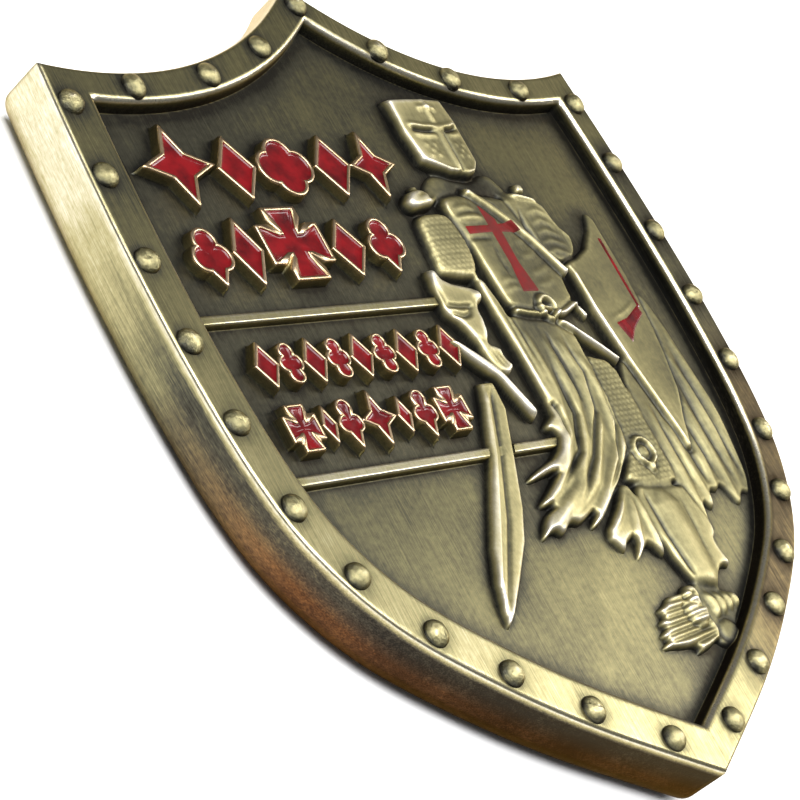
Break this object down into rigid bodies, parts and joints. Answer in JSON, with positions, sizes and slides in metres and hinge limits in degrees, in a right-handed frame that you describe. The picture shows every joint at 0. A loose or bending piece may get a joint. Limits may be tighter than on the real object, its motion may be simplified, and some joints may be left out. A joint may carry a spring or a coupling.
{
  "type": "challenge coin",
  "caption": "Shield-shaped challenge coin in antique brass with a riveted border, red enamel ornaments and a knight in relief.",
  "frame": {"origin": "middle of the outline's box, on the flat rim of the reverse", "axes": "+Y towards the shield's peak, +Z out of the front face, +X to the right as the front is read"},
  "size_m": [0.04, 0.0442, 0.004],
  "materials": {
    "antique_brass": "worn antique plating",
    "red_enamel": "glossy soft enamel"
  },
  "bodies": {
    "root": {"coin_body": "antique_brass", "enamel_a1": "red_enamel", "enamel_a2": "red_enamel", "enamel_a3": "red_enamel", "enamel_a4": "red_enamel", "enamel_a5": "red_enamel", "enamel_b1": "red_enamel", "enamel_b2": "red_enamel", "enamel_b3": "red_enamel", "enamel_b4": "red_enamel", "enamel_b5": "red_enamel", "enamel_c1": "red_enamel", "enamel_c2": "red_enamel", "enamel_c3": "red_enamel", "enamel_c4": "red_enamel", "enamel_c5": "red_enamel", "enamel_c6": "red_enamel", "enamel_c7": "red_enamel", "enamel_c8": "red_enamel", "enamel_c9": "red_enamel", "enamel_d1": "red_enamel", "enamel_d2": "red_enamel", "enamel_d3": "red_enamel", "enamel_d4": "red_enamel", "enamel_d5": "red_enamel", "enamel_d6": "red_enamel", "enamel_d7": "red_enamel", "enamel_chest_cross": "red_enamel", "enamel_shield_cross": "red_enamel"}
  },
  "joints": []
}
